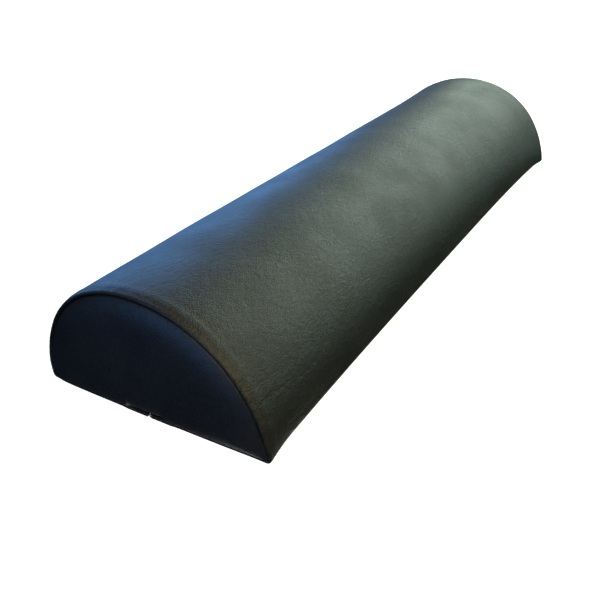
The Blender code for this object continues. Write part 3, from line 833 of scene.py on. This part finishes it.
def makeEndPanel(side, name):
    points, kinds = panelSection()
    normal = outwards(points, closed=True)
    depth = depthAt(points, kinds) + taperAt(points, kinds, side, 0.0)
    rings, shares = [], []
    for e, extra in endPanel["tuck"]:
        ring = points - normal * (depth + extra * (0.35 + 0.65 * depth / depth.max()))[:, None]
        rings.append(np.column_stack([np.full(len(ring), side * (halfLength - e)), ring]))
        shares.append(0.0)
    edge = rings[-1][:, 1:]
    edgeDepth = wrap["rollDepth"] + wrap["taperDepths"][side] + endPanel["tuck"][-1][1]
    centre = np.array(cloth["centre"])
    inward = centre - edge
    reach = np.hypot(inward[:, 0], inward[:, 1])
    arc = np.concatenate([[0], np.cumsum(np.hypot(*np.diff(edge, axis=0).T))])
    ripple = np.sin(2 * math.pi * arc / endPanel["puckerLength"] + 1.1 * np.sin(arc * 37 + side))
    strength = 0.5 + 0.5 * np.sin(arc * 29 + 0.8 * side)
    start = panelCrown(edge[:, 0], edge[:, 1], edgeDepth)
    for k in range(1, endPanel["rings"]):
        t = (k / endPanel["rings"]) ** 1.6
        ring = edge + inward * t
        crown = panelCrown(ring[:, 0], ring[:, 1], edgeDepth) - start * (1 - t) ** 6
        gap = t * reach
        fading = np.exp(-gap / endPanel["puckerReach"]) * smoothStep(gap, 0, 0.003)
        crown = crown + endPanel["puckerHeight"] * ripple * strength * fading
        rings.append(np.column_stack([side * (halfLength - 0.0001 + crown), ring]))
        shares.append(t)
    columns = len(points)
    vertices = np.vstack(rings)
    top = float(panelCrown(np.array([0.0]), centre[1:], edgeDepth)[0])
    vertices = np.vstack([vertices, [[side * (halfLength + top), *centre]]])
    vertices = cornersOut(settled(swellEnd(vertices, side, np.append(np.repeat(shares, columns), 1.0))))
    faces = gridFaces(len(rings), columns, closed=True, flip=side < 0)
    last = (len(rings) - 1) * columns
    faces += poleFaces(list(range(last, last + columns)), len(vertices) - 1, side)
    return thickened(newObject(name, vertices, faces, endLeatherette))


coverBody = makeCoverBody()
frontPanel = makeEndPanel(-1, "leatherette_end_front")
rearPanel = makeEndPanel(1, "leatherette_end_rear")
print("end panels made")


# Filling: foam block and wadding, hidden by the cover

filling = {
    "waddingOuter": 0.0016,
    "waddingInner": 0.0044,
    "foamSide": 0.0048,
    "foamBase": 0.0032,
    "endStep": 0.0022,       # extra room round the foam's ends for the seam allowances
    "recess": (0.0075, 0.024, 0.034),   # the arch in the foam over the zip
    "waddingEnd": 0.0125,    # from the end of the cover to the wadding's
    "stepReach": (0.0150, 0.0115),   # where the extra room begins and is full, from the end
    "endRows": (0.0016, 0.0100, 0.0125, 0.0155, 0.03),   # the foam's rows near an end, from it
}


def foamRing(x):
    begins, full = (halfLength - gap for gap in filling["stepReach"])
    step = filling["endStep"] * float(smoothStep(abs(x), begins, full))
    points, kinds = archedSection(section["baseCorner"], filling["recess"], (4, 6, 10, 6, 30))
    sides = (filling["foamSide"] - filling["foamBase"]) * smoothStep(points[:, 1], 0.0, 0.010)
    inset = np.where(isKind(kinds, "base"), filling["foamBase"], filling["foamBase"] + sides)
    points = points - outwards(points, closed=True) * (inset + step)[:, None]
    return np.column_stack([np.full(len(points), x), points])


def makeFoamBlock():
    ends = [halfLength - gap for gap in filling["endRows"]]
    xs = sorted([-e for e in ends] + ends + list(np.linspace(-0.28, 0.28, 15)))
    grid = [foamRing(x) for x in xs]
    columns = len(grid[0])
    vertices = settled(np.vstack(grid))
    faces = gridFaces(len(grid), columns, closed=True)
    faces.append(tuple(reversed(range(columns))))
    faces.append(tuple(range((len(grid) - 1) * columns, len(grid) * columns)))
    return newObject("foam_block", vertices, faces, foam, smooth=False)


def makeWaddingSheet():
    end = halfLength - filling["waddingEnd"]
    xs = np.linspace(-end, end, 40)
    dome = closeHalf(*joinRuns([("dome", domeRun(section["baseCorner"], 40))]))[0]
    dome = dome[2:-2]
    normal = outwards(dome)
    outer, inner = (dome - normal * filling[face] for face in ("waddingOuter", "waddingInner"))
    ring = np.vstack([outer, inner[::-1]])
    grid = [np.column_stack([np.full(len(ring), x), ring]) for x in xs]
    columns = len(ring)
    vertices = settled(np.vstack(grid))
    faces = gridFaces(len(grid), columns, closed=True)
    half = columns // 2
    for start, flip in ((0, False), ((len(grid) - 1) * columns, True)):
        for j in range(half - 1):
            quad = (start + j, start + j + 1, start + columns - 2 - j, start + columns - 1 - j)
            faces.append(quad if flip else quad[::-1])
    return newObject("polyester_wadding", vertices, faces, wadding)


foamBlock = makeFoamBlock()
waddingSheet = makeWaddingSheet()
print("filling made")


# Geometry Nodes: the zip's coils, and stitches along a path

def newTree(name, sizes):
    # A tree with a geometry input, and one number for each size
    tree = bpy.data.node_groups.new(name, "GeometryNodeTree")
    sockets = {}
    for label in ("Geometry", *sizes):
        kind = "NodeSocketGeometry" if label == "Geometry" else "NodeSocketFloat"
        sockets[label] = tree.interface.new_socket(name=label, in_out="INPUT", socket_type=kind).identifier
    tree.interface.new_socket(name="Geometry", in_out="OUTPUT", socket_type="NodeSocketGeometry")
    return tree, sockets, tree.nodes.new("NodeGroupInput"), tree.nodes.new("NodeGroupOutput")


def finishTree(tree, geometry, material, output):
    real = addNode(tree, "GeometryNodeRealizeInstances", {"Geometry": geometry})
    smooth = addNode(tree, "GeometryNodeSetShadeSmooth", {"Geometry": real})
    painted = addNode(tree, "GeometryNodeSetMaterial", {"Material": material, "Geometry": smooth})
    tree.links.new(painted.outputs["Geometry"], output.inputs["Geometry"])


def coilTree(material):
    tree, sockets, given, output = newTree("zipCoil", [
        "Length", "Pitch", "Loop Width", "Loop Height", "Wire", "Across", "Level", "Side", "Shift",
        "End Drop", "Drop From", "Drop To"])

    def maths(operation, *values):
        return addNode(tree, "ShaderNodeMath", dict(enumerate(values)), operation=operation)

    turns = maths("DIVIDE", given.outputs["Length"], given.outputs["Pitch"])
    spiral = addNode(tree, "GeometryNodeCurveSpiral", {
        "Resolution": 10, "Start Radius": 0.5, "End Radius": 0.5, "Rotations": turns,
        "Height": given.outputs["Length"],
    })
    place = addNode(tree, "GeometryNodeInputPosition")
    apart = addNode(tree, "ShaderNodeSeparateXYZ", {"Vector": place})
    x = maths("ADD", maths("SUBTRACT", apart.outputs["Z"], maths("MULTIPLY", given.outputs["Length"], 0.5)),
              given.outputs["Shift"])
    y = maths("MULTIPLY", maths("ADD", maths("MULTIPLY", apart.outputs["X"], given.outputs["Loop Width"]),
                                given.outputs["Across"]), given.outputs["Side"])
    fall = addNode(tree, "ShaderNodeMapRange", {
        "Value": maths("ABSOLUTE", x), "From Min": given.outputs["Drop From"],
        "From Max": given.outputs["Drop To"], "To Max": given.outputs["End Drop"],
    }, interpolation_type="SMOOTHSTEP")
    z = maths("SUBTRACT", maths("ADD", maths("MULTIPLY", apart.outputs["Y"], given.outputs["Loop Height"]),
                                given.outputs["Level"]), fall)
    spot = addNode(tree, "ShaderNodeCombineXYZ", {"X": x, "Y": y, "Z": z})
    laid = addNode(tree, "GeometryNodeSetPosition", {"Geometry": spiral, "Position": spot})
    ring = addNode(tree, "GeometryNodeCurvePrimitiveCircle", {
        "Resolution": 5, "Radius": given.outputs["Wire"],
    })
    wire = addNode(tree, "GeometryNodeCurveToMesh", {
        "Fill Caps": True, "Curve": laid, "Profile Curve": ring,
    })
    finishTree(tree, wire, material, output)
    return tree, sockets


def stitchTree(material):
    tree, sockets, given, output = newTree("stitches", ["Pitch", "Stitch Length", "Thread Radius"])
    path = addNode(tree, "GeometryNodeMeshToCurve", {"Mesh": given.outputs["Geometry"]})
    steps = addNode(tree, "GeometryNodeResampleCurve", {
        "Curve": path, "Length": given.outputs["Pitch"],
    }, mode="LENGTH")
    bead = addNode(tree, "GeometryNodeMeshUVSphere", {"Segments": 7, "Rings": 6, "Radius": 1.0})
    size = addNode(tree, "ShaderNodeCombineXYZ", {
        "X": given.outputs["Thread Radius"], "Y": given.outputs["Thread Radius"],
        "Z": given.outputs["Stitch Length"],
    })
    stitch = addNode(tree, "GeometryNodeTransform", {"Geometry": bead, "Scale": size})
    along = addNode(tree, "GeometryNodeInputTangent")
    turn = addNode(tree, "FunctionNodeAlignRotationToVector", {"Vector": along}, axis="Z")
    placed = addNode(tree, "GeometryNodeInstanceOnPoints", {
        "Points": steps, "Instance": stitch, "Rotation": turn,
    })
    finishTree(tree, placed, material, output)
    return tree, sockets


def grown(name, tree, sockets, values, material, path=None, closed=False):
    # Runs a tree over a path, or over nothing, and returns its result as a plain mesh object
    mesh = bpy.data.meshes.new(name + "_path")
    if path is not None:
        edges = [(k, k + 1) for k in range(len(path) - 1)] + ([(len(path) - 1, 0)] if closed else [])
        mesh.from_pydata([tuple(p) for p in path], edges, [])
    seed = placeObject(name + "_path", mesh)
    nodes = seed.modifiers.new("nodes", "NODES")
    nodes.node_group = tree
    for label, value in values.items():
        nodes[sockets[label]] = value
    bpy.context.view_layer.update()
    graph = bpy.context.evaluated_depsgraph_get()
    result = bpy.data.meshes.new_from_object(seed.evaluated_get(graph))
    result.name = name
    bpy.data.objects.remove(seed, do_unlink=True)
    if material.name not in result.materials:
        result.materials.clear()
        result.materials.append(material)
    print(name, len(result.polygons), "faces")
    return placeObject(name, result)


zipChain = {
    "pitch": 0.00135,        # a number 5 coil
    "loopWidth": 0.0026,
    "loopHeight": 0.0013,
    "wire": 0.00033,
    "across": 0.00118,       # from the middle of the zip to the middle of a half
    "tapeEdge": 0.0009,
    "tapeWidth": 0.015,
    "tapeTrim": 0.00012,     # bevel along the tapes' edges
    "endReach": 0.0008,      # how far the chain stands out beyond the sheets' seam
    "stagger": 0.000375,     # how far the right half is shifted along the left one
    "bendLength": 0.0200,    # length of each end that has finer rows, where the tapes come down
}

coilNodes, coilSockets = coilTree(nylonCoil)
coils = {}
for suffix, side in (("left", 1), ("right", -1)):
    coils[suffix] = grown("zip_chain_" + suffix, coilNodes, coilSockets, {
        "Length": 2 * (halfLength + zipChain["endReach"]), "Pitch": zipChain["pitch"],
        "Loop Width": zipChain["loopWidth"], "Loop Height": zipChain["loopHeight"],
        "Wire": zipChain["wire"], "Across": zipChain["across"], "Level": (coilLow + coilHigh) / 2,
        "Side": float(side), "Shift": 0.0 if side > 0 else zipChain["stagger"],
        "End Drop": section["endDrop"], "Drop To": halfLength,
        "Drop From": halfLength - section["dropLength"],
    }, nylonCoil)


def makeTape(side, name):
    inner, outer = zipChain["tapeEdge"], zipChain["tapeEdge"] + zipChain["tapeWidth"]
    trim = zipChain["tapeTrim"]
    low, high = tapeLow, tapeHigh
    ring = np.array([
        (inner, low + trim), (inner + trim, low), (outer - trim, low), (outer, low + trim),
        (outer, high - trim), (outer - trim, high), (inner + trim, high), (inner, high - trim)])
    ring[:, 0] *= side
    end = halfLength + zipChain["endReach"]
    bent = halfLength - zipChain["bendLength"]
    middle = np.linspace(-0.29, 0.29, 8)
    xs = np.concatenate([-np.linspace(end, bent, 16), middle, np.linspace(bent, end, 16)])
    grid = [np.column_stack([np.full(8, x), ring[:, 0], ring[:, 1] - float(zipDrop(x))]) for x in xs]
    faces = gridFaces(len(xs), 8, closed=True, flip=side < 0)
    first, last = tuple(range(8)), tuple(range((len(xs) - 1) * 8, len(xs) * 8))
    faces += [first[::-1], last] if side > 0 else [first, last[::-1]]
    return newObject(name, np.vstack(grid), faces, zipTape, smooth=False)


tapes = {suffix: makeTape(side, "zip_woven_tape_" + suffix) for suffix, side in (("left", 1), ("right", -1))}


sewing = {
    "hemPitch": 0.0034,
    "hemStitch": 0.0014,     # half of a stitch's length
    "seamPitch": 0.0036,
    "seamStitch": 0.0013,
    "threadRadius": 0.00030,
    "hemInset": 0.0035,
    "hemBelow": 0.00012,     # how far the stitches stand out of the hem
    "hemEnd": 0.0030,        # from the end of the cover to the first stitch of a hem
    "seamIn": 0.0019,        # from the end of the cover to the stitches of its seam
    "seamUnder": 0.00112,    # how far those lie inside the groove
}

stitchNodes, stitchSockets = stitchTree(thread)


def sewn(name, seam, path, closed=False):
    sizes = {"Pitch": sewing[seam + "Pitch"], "Stitch Length": sewing[seam + "Stitch"],
             "Thread Radius": sewing["threadRadius"]}
    return grown(name, stitchNodes, stitchSockets, sizes, thread, path, closed)


hemStitches = {}
for suffix, side in (("left", 1), ("right", -1)):
    xs = np.linspace(-halfLength + sewing["hemEnd"], halfLength - sewing["hemEnd"], 160)
    y = side * (section["lipGap"] + sewing["hemInset"])
    path = [(x, y, lipLow - float(zipDrop(x)) - sewing["hemBelow"]) for x in xs]
    hemStitches[suffix] = sewn("zip_stitches_" + suffix, "hem", path)

seamStitches = {}
for name, side in (("front", -1), ("rear", 1)):
    points, kinds = panelSection()
    inset = depthAt(points, kinds) + taperAt(points, kinds, side, sewing["seamIn"]) + sewing["seamUnder"]
    ring = points - outwards(points, closed=True) * inset[:, None]
    x = side * (halfLength - sewing["seamIn"])
    path = cornersOut(settled(np.column_stack([np.full(len(ring), x), ring])))
    seamStitches[name] = sewn("end_seam_stitches_" + name, "seam", path, closed=True)
print("zip and seams made")


# Slider and pull keep their modelled shape

for name in ("zip_slider", "zip_pull"):
    node = frame["nodes"][name]
    node.data.materials.clear()
    node.data.materials.append(dieCastZinc)


# What each piece stands for, and the body it rides on

pieceFacts = [
    (coverBody, "leatherette", "cover_body", 0.95),
    (frontPanel, "leatherette", "end_panel_front", 0.95),
    (rearPanel, "leatherette", "end_panel_rear", 0.95),
    (foamBlock, "foam", "foam_core", 1.0),
    (waddingSheet, "wadding", "core_wadding", 0.9),
    (coils["left"], "zip_coil", "zip_coil_left", None),
    (coils["right"], "zip_coil", "zip_coil_right", None),
    (tapes["left"], "zip_tape", "zip_tape_left", None),
    (tapes["right"], "zip_tape", "zip_tape_right", None),
    (hemStitches["left"], "thread", "zip_stitching_left", None),
    (hemStitches["right"], "thread", "zip_stitching_right", None),
    (seamStitches["front"], "thread", "end_seam_thread_front", None),
    (seamStitches["rear"], "thread", "end_seam_thread_rear", None),
]
for piece, slotName, node, fill in pieceFacts:
    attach(piece, "cover")
    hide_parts(node)
print("pieces ride on the cover")


# Floor, light and camera

studio = {
    "radius": 14.0,
    "sides": 48,
    "rings": 10,
    "glow": 1.0,             # bright enough to read as plain white paper
}


def makeFloor():
    # A floor under a round white tent. Light passes it by, and from below it is clear
    material, tree, shader = newMaterial("paintedStudioFloor")
    shader.inputs["Base Color"].default_value = hexColour("#f7f7f5")
    shader.inputs["Roughness"].default_value = 0.9
    shader.inputs["Emission Color"].default_value = hexColour("#ffffff")
    shader.inputs["Emission Strength"].default_value = studio["glow"]
    facing = addNode(tree, "ShaderNodeNewGeometry")
    clear = addNode(tree, "ShaderNodeBsdfTransparent")
    oneSided = addNode(tree, "ShaderNodeMixShader", {
        0: facing.outputs["Backfacing"], 1: shader.outputs["BSDF"], 2: clear.outputs["BSDF"],
    })
    tree.links.new(oneSided.outputs["Shader"], tree.nodes["Material Output"].inputs["Surface"])
    sides = studio["sides"]
    turns = np.linspace(0, 2 * math.pi, sides, endpoint=False)
    grid = []
    for lean in np.linspace(0, math.pi / 2, studio["rings"], endpoint=False):
        reach = studio["radius"] * math.cos(lean)
        height = studio["radius"] * math.sin(lean) - 0.0002
        around = np.column_stack([np.cos(turns), np.sin(turns)]) * reach
        grid.append(np.column_stack([around, np.full(len(turns), height)]))
    faces = [tuple(range(sides))] + gridFaces(len(grid), sides, closed=True, flip=True)
    faces.append(tuple(reversed(range((len(grid) - 1) * sides, len(grid) * sides))))
    floor = newObject("studio_floor", np.vstack(grid), faces, material, smooth=False)
    floor.visible_glossy = False
    floor.visible_diffuse = False
    floor.visible_shadow = False


# Each lamp's place, the spot it aims at, its size, its power and its colour
lights = {
    "skyWindow": [(0.86, 1.60, 0.46), (0.1, 0, 0.05), (2.0, 0.8), 20.5, "#6cb2ff"],
    "highWindow": [(1.1, 1.5, 1.4), (-0.1, 0, 0.08), (1.8, 0.6), 6.5, "#d4e2ee"],
    "nearWindow": [(-1.7, 0.2, 0.45), (-0.3, 0, 0.05), (1.8, 0.8), 9.5, "#5aa8ff"],
    "farSoftbox": [(1.60, -0.40, 0.95), (0, 0, 0.05), (2.2, 1.0), 30, "#e6fff0"],
    "sideSoftbox": [(-0.80, -1.25, 1.25), (-0.25, 0, 0.05), (1.9, 1.0), 26, "#ffe6a0"],
    "lowSoftbox": [(1.35, -1.50, 0.32), (0.25, 0, 0.03), (1.2, 0.5), 5, "#ccffee"],
    "groundBox": [(0.0, 0.0, -1.1), (0, 0, 0), (1.2, 0.7), 8, "#ffffff"],
}
room = {"low": 0.15, "high": 1.0}   # brightness of the room below and above


def makeLights():
    for name, (place, aim, size, power, colour) in lights.items():
        data = bpy.data.lights.new(name, "AREA")
        data.shape = "RECTANGLE"
        data.size, data.size_y = size
        data.energy = power
        data.color = hexColour(colour)[:3]
        lamp = placeObject(name, data)
        lamp.location = place
        towards = Vector(aim) - Vector(place)
        lamp.rotation_euler = towards.to_track_quat("-Z", "Y").to_euler()
        lamp.visible_camera = False
    world = bpy.data.worlds.new("softRoom")
    world.use_nodes = True
    bpy.context.scene.world = world
    tree = world.node_tree
    background = tree.nodes["Background"]
    way = addNode(tree, "ShaderNodeTexCoord").outputs["Generated"]
    apart = addNode(tree, "ShaderNodeSeparateXYZ", {"Vector": way})
    blend = addNode(tree, "ShaderNodeMapRange", {
        "From Min": -0.05, "From Max": 0.5, "To Min": room["low"], "To Max": room["high"],
        "Value": apart.outputs["Z"],
    }, interpolation_type="SMOOTHSTEP")
    tree.links.new(blend.outputs["Result"], background.inputs["Strength"])


camera = {
    "target": (-0.19784, -0.04659, 0.04220),
    "azimuth": -55.724,
    "elevation": 29.752,
    "roll": -4.444,
    "distance": 0.54601,
    "lens": 40.23,
}


def makeCamera():
    data = bpy.data.cameras.new("studioCamera")
    data.lens = camera["lens"]
    data.sensor_width = 36.0
    data.clip_start, data.clip_end = 0.01, 50
    eye = placeObject("studioCamera", data)
    turn, lean, roll = (math.radians(camera[k]) for k in ("azimuth", "elevation", "roll"))
    back = Vector((math.sin(turn) * math.cos(lean), -math.cos(turn) * math.cos(lean), math.sin(lean)))
    right = (-back).cross(Vector((0, 0, 1))).normalized()
    up = right.cross(-back)
    across = math.cos(roll) * right + math.sin(roll) * up
    upward = -math.sin(roll) * right + math.cos(roll) * up
    spot = Vector(camera["target"]) + back * camera["distance"]
    eye.matrix_world = Matrix([(across[i], upward[i], back[i], spot[i]) for i in range(3)] + [(0, 0, 0, 1)])
    bpy.context.scene.camera = eye


makeFloor()
makeLights()
makeCamera()
bpy.context.scene.view_settings.view_transform = "Standard"
print("stage set")
